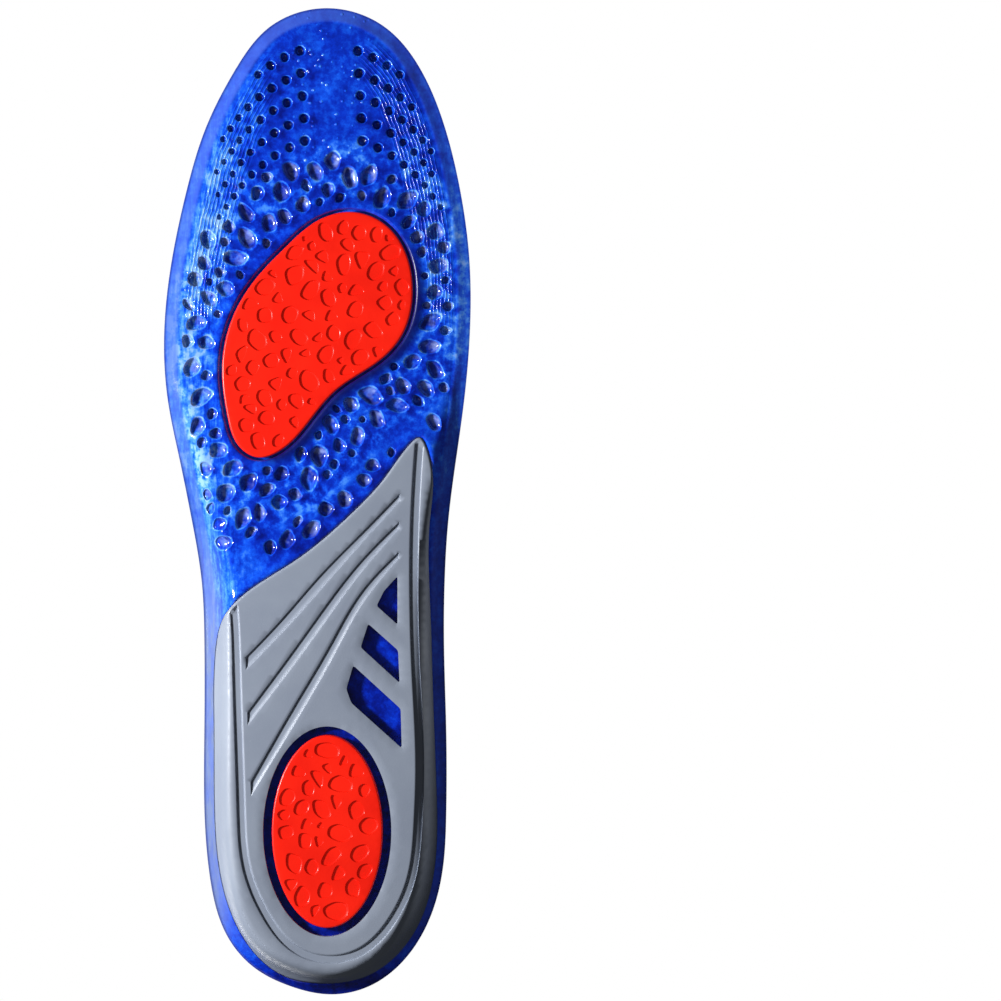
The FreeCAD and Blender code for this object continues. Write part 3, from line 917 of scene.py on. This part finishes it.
# %% Cover material
def knit_cover():
    m = Maker("knit_cover")
    wale = m.node("ShaderNodeTexWave", {"bands_direction": "X"}, 1, Vector=m.place(),
                  Scale=230, Distortion=1.2, Detail=1.0, Detail_Scale=6.0)
    course = m.node("ShaderNodeTexWave", {"bands_direction": "Y"}, 1, Vector=m.place(),
                    Scale=260, Distortion=1.5, Detail=1.0, Detail_Scale=6.0)
    loops = wale * course
    fuzz = m.noise(1400, 3, 0.7)
    shade = m.noise(22, 3, 0.5).between(0.25, 0.75)
    blue = m.mix(shade, (0.055, 0.31, 0.68), (0.075, 0.37, 0.77))
    blue = m.mix(fuzz.between(0.3, 0.8) * 0.4, blue, (0.14, 0.48, 0.86))
    blue = m.mix(m.noise(900, 2, 0.6).between(0.52, 0.72) * 0.3, blue, (0.02, 0.17, 0.45))
    blue = m.mix(m.mark("spot") * (0.2 + 0.5 * m.noise(500, 2).between(0.3, 0.6)), blue, (0.20, 0.60, 0.94))
    blue = m.mix(m.mark("pad") * 0.18, blue, (0.10, 0.42, 0.55))
    m.bump(loops * 0.6 + fuzz * 0.6, 0.00022, 0.7)
    return m.set(Base_Color=blue, Roughness=0.92, Sheen_Weight=0.35, Sheen_Roughness=0.5,
                 Specular_IOR_Level=0.25)


# %% Cover mesh
COVER_SPACING = 1.0
net = Net()
for d in (0.0, 0.08, 0.3, 0.7, 1.4, 2.4, 3.8):
    net.ring(along(footprint, COVER_SPACING, gap=-d) if d else rim)
loose = lattice(COVER_SPACING)
net.dots(loose[clearance(loose, rim) > 4.4])
xy, faces, _ = net.triangles(lambda middles: inside(middles, rim))
d = np.maximum(clearance(xy, rim), 0)
spot = np.zeros(len(xy))
for pit in pits:
    away = np.hypot(*(xy - pit["centre"]).T)
    seen = min(1, pit["reach"] / 1.8) * max(0, dice.uniform(-0.3, 1))
    spot = np.maximum(spot, fade((pit["reach"] * 0.95 - away) / 0.8) * seen)
on_pad = fade((clearance(xy, ball_edge) + 1) / 2)
base = topside(xy, d)
upper = base + COVER * (1 - 0.75 * fade(1 - d / 0.5) ** 2) - 0.05 * spot
cover = solid("top_cover_knit", xy, faces, base, upper, "knit_cover", knit_cover(), sharp=60,
              spot=spot, pad=on_pad)
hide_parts("top_cover")
ahead = np.roll(rim, -1, axis=0)
outline_area = abs((rim[:, 0] * ahead[:, 1] - rim[:, 1] * ahead[:, 0]).sum()) / 2 * MM**2
outline_area * 1.04

# %% [markdown]
# ## Floor, light and camera
# The insole is looked at from below, square on, with the toe up. The light comes from the
# left and low, so that it draws every pit and groove. The floor lies just under the insole
# and only the camera sees it. The camera's near limit starts behind the floor.

# %% Stage
FLOOR_GAP, FLOOR_REACH = 0.0006, 3.0
corners = ((-1, -1), (1, -1), (1, 1), (-1, 1))
floor_mesh = bpy.data.meshes.new("floor")
floor_mesh.from_pydata(
    [(x * FLOOR_REACH, y * FLOOR_REACH, -FLOOR_GAP) for x, y in corners], [], [(0, 1, 2, 3)])
floor = bpy.data.objects.new("floor", floor_mesh)
bpy.context.scene.collection.objects.link(floor)
# far from the insole the floor fades into the white of the room
white = Maker("pale_floor")
far = white.node("ShaderNodeVectorMath", {"operation": "LENGTH"}, 1, _0=white.place()).between(0.45, 1.7)
paint = white.mix(white.noise(3, 2), (0.80, 0.80, 0.81), (0.83, 0.83, 0.84))
floor_mesh.materials.append(white.set(
    Base_Color=white.mix(far, paint, (0, 0, 0)), Roughness=0.85, Specular_IOR_Level=0.2,
    Emission_Color=white.mix(far, (0, 0, 0), (1, 1, 1)), Emission_Strength=1.0))
for ray in ("diffuse", "glossy", "transmission", "shadow", "volume_scatter"):
    setattr(floor, "visible_" + ray, False)


# %% Lamps
def lamp(name, place, size, watts):
    light = bpy.data.lights.new(name, "AREA")
    light.size, light.energy = size, watts
    made = bpy.data.objects.new(name, light)
    made.location = place
    made.rotation_euler = (Vector((0, 0, 0)) - Vector(place)).to_track_quat("-Z", "Y").to_euler()
    bpy.context.scene.collection.objects.link(made)


lamp("key_below_left", (0.48, 0.04, -0.29), 0.07, 6.2)
lamp("fill_below", (0.45, -0.55, -0.9), 0.5, 0.5)
lamp("top_soft", (0.5, -0.5, 1.4), 1.0, 20)
lamp("top_side", (-0.9, 0.5, 0.9), 0.6, 11)
print("the scene has", len(bpy.data.lights), "lamps")

# %% Room: white to look at, and dim and bluish as a light
scene = bpy.context.scene
scene.view_settings.view_transform = "Standard"
world = bpy.data.worlds.new("pale_room")
scene.world = world
world.use_nodes = True
room = world.node_tree
seen, lit = room.nodes["Background"], room.nodes.new("ShaderNodeBackground")
seen.inputs[0].default_value, seen.inputs[1].default_value = (1, 1, 1, 1), 1.0
lit.inputs[0].default_value, lit.inputs[1].default_value = (0.92, 0.96, 1, 1), 0.055
choose, ray = room.nodes.new("ShaderNodeMixShader"), room.nodes.new("ShaderNodeLightPath")
room.links.new(ray.outputs["Is Camera Ray"], choose.inputs[0])
room.links.new(lit.outputs[0], choose.inputs[1])
room.links.new(seen.outputs[0], choose.inputs[2])
room.links.new(choose.outputs[0], room.nodes["World Output"].inputs[0])

# %% Camera
VIEW = 293.2 * MM
DISTANCE = 1.6
camera_data = bpy.data.cameras.new("camera")
camera_data.sensor_width = 36
camera_data.lens = 36 * DISTANCE / VIEW
camera_data.clip_start = DISTANCE - FLOOR_GAP / 2
camera_data.clip_end = 20
camera = bpy.data.objects.new("camera", camera_data)
camera.location = (-53.7 * MM, 0.7 * MM, -DISTANCE)
camera.rotation_euler = (0, math.pi, 0)
bpy.context.scene.collection.objects.link(camera)
bpy.context.scene.camera = camera
